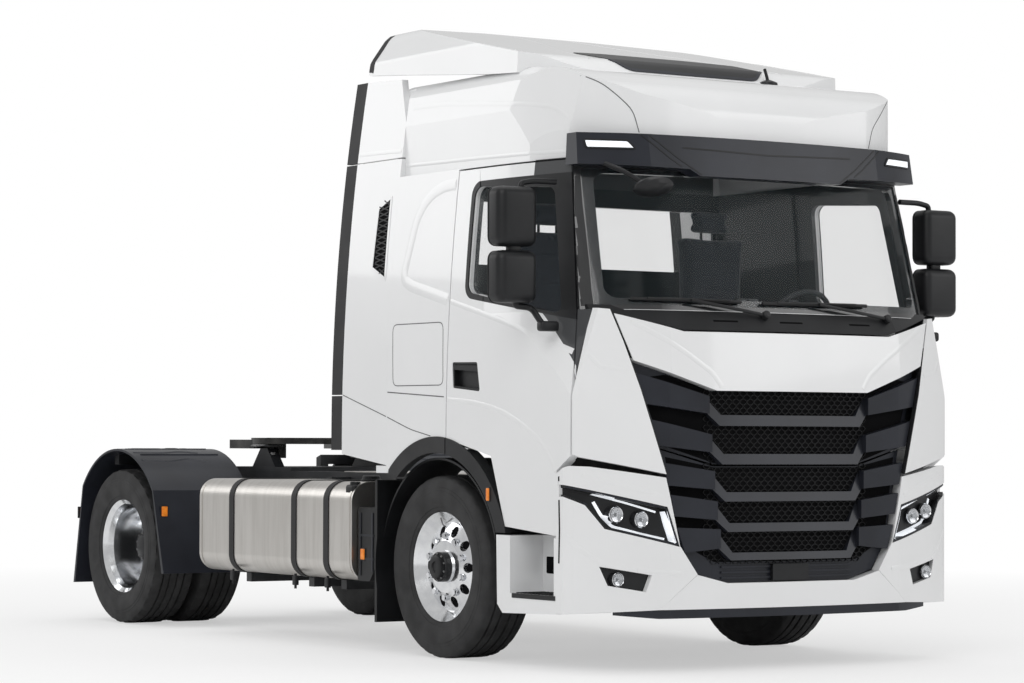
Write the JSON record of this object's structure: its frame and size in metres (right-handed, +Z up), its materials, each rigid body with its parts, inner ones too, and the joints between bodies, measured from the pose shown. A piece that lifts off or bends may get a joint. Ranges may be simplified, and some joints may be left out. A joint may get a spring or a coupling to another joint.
{
  "type": "semi truck tractor unit",
  "caption": "High-roof sleeper cab-over tractor unit on two axles, with tilting cab, doors, steered wheels and a fifth wheel coupling.",
  "frame": {"origin": "centre of the vehicle's length and width, on the ground under the tyres", "axes": "+Y towards the rear along the vehicle, +X towards its left side, +Z up"},
  "size_m": [3.09, 6.0498, 3.5466],
  "materials": {
    "paint": "gloss",
    "dark_plastic": "semi-gloss",
    "black_plastic": "matte",
    "chassis_paint": "satin",
    "tank_metal": "satin",
    "rim_metal": "polished",
    "steel": "satin",
    "cast": "matte",
    "rubber": "matte",
    "tyre": "matte",
    "glass": "gloss",
    "lamp": "gloss",
    "trim_plastic": "matte",
    "cloth": "matte"
  },
  "bodies": {
    "chassis": {"frame": "chassis_paint", "front_axle": "cast", "springs": "chassis_paint", "rear_axle": "cast", "propshaft": "steel", "engine_block": "cast", "radiator": "tank_metal", "fuel_tanks": "tank_metal", "tank_straps": "black_plastic", "battery_box": "black_plastic", "steps": "paint", "front_mudguards": "black_plastic", "rear_mudguards": "dark_plastic", "tail_bar": "chassis_paint", "deck_plate": "tank_metal", "fifth_wheel_base": "chassis_paint", "bumper_corners": "paint", "bumper_centre": "paint", "lower_grille": "dark_plastic", "front_lamps": "lamp"},
    "cab": {"cab_shell": "paint", "roof": "paint", "roof_spoiler": "paint", "side_deflectors": "paint", "cab_trims": "rubber", "sun_visor": "dark_plastic", "cowl": "black_plastic", "corner_panels": "paint", "cab_glass": "glass", "dashboard": "trim_plastic", "steering_wheel": "trim_plastic", "seats": "cloth", "bunk": "cloth"},
    "hatch": {"nose_panel": "paint", "upper_grille": "dark_plastic"},
    "fifth_wheel": {"fifth_wheel_plate": "cast"},
    "door_left": {"door_left": "paint", "door_glass_left": "glass", "arch_trim_left": "rubber", "door_trim_left": "black_plastic", "mirror_left": "black_plastic"},
    "knuckle_left": {"knuckle_left": "cast"},
    "wheel_front_left": {"tyre_front_left": "tyre", "rim_front_left": "rim_metal"},
    "wheels_rear_left": {"tyres_rear_left": "tyre", "rims_rear_left": "rim_metal"},
    "door_right": {"door_right": "paint", "door_glass_right": "glass", "arch_trim_right": "rubber", "door_trim_right": "black_plastic", "mirror_right": "black_plastic"},
    "knuckle_right": {"knuckle_right": "cast"},
    "wheel_front_right": {"tyre_front_right": "tyre", "rim_front_right": "rim_metal"},
    "wheels_rear_right": {"tyres_rear_right": "tyre", "rims_rear_right": "rim_metal"}
  },
  "joints": [
    {"name": "cab_tilt", "type": "hinge", "parent": "chassis", "child": "cab", "pos_m": [0, -2.93, 0.9], "axis": [1, 0, 0], "range_deg": [0, 60]},
    {"name": "hatch_swing", "type": "hinge", "parent": "cab", "child": "hatch", "pos_m": [0, -2.98, 1.87], "axis": [-1, 0, 0], "range_deg": [0, 75]},
    {"name": "fifth_wheel_rock", "type": "hinge", "parent": "chassis", "child": "fifth_wheel", "pos_m": [0, 1.915, 1.11], "axis": [1, 0, 0], "range_deg": [-12, 12]},
    {"name": "door_left_swing", "type": "hinge", "parent": "cab", "child": "door_left", "pos_m": [1.277, -2.765, 1], "axis": [0.0544, 0, -0.9985], "range_deg": [0, 80]},
    {"name": "steer_left", "type": "hinge", "parent": "chassis", "child": "knuckle_left", "pos_m": [0.985, -1.435, 0.496], "axis": [0, 0, 1], "range_deg": [-38, 38]},
    {"name": "wheel_front_left_spin", "type": "hinge", "parent": "knuckle_left", "child": "wheel_front_left", "pos_m": [1.041, -1.435, 0.496], "axis": [1, 0, 0], "continuous": true},
    {"name": "wheels_rear_left_spin", "type": "hinge", "parent": "chassis", "child": "wheels_rear_left", "pos_m": [1.064, 2.365, 0.496], "axis": [1, 0, 0], "continuous": true},
    {"name": "door_right_swing", "type": "hinge", "parent": "cab", "child": "door_right", "pos_m": [-1.277, -2.765, 1], "axis": [0.0544, 0, 0.9985], "range_deg": [0, 80]},
    {"name": "steer_right", "type": "hinge", "parent": "chassis", "child": "knuckle_right", "pos_m": [-0.985, -1.435, 0.496], "axis": [0, 0, 1], "range_deg": [-38, 38]},
    {"name": "wheel_front_right_spin", "type": "hinge", "parent": "knuckle_right", "child": "wheel_front_right", "pos_m": [-1.041, -1.435, 0.496], "axis": [1, 0, 0], "continuous": true},
    {"name": "wheels_rear_right_spin", "type": "hinge", "parent": "chassis", "child": "wheels_rear_right", "pos_m": [-1.064, 2.365, 0.496], "axis": [1, 0, 0], "continuous": true}
  ],
  "couplings": [
    {"joint": "steer_right", "follows": "steer_left", "ratio": 1}
  ]
}
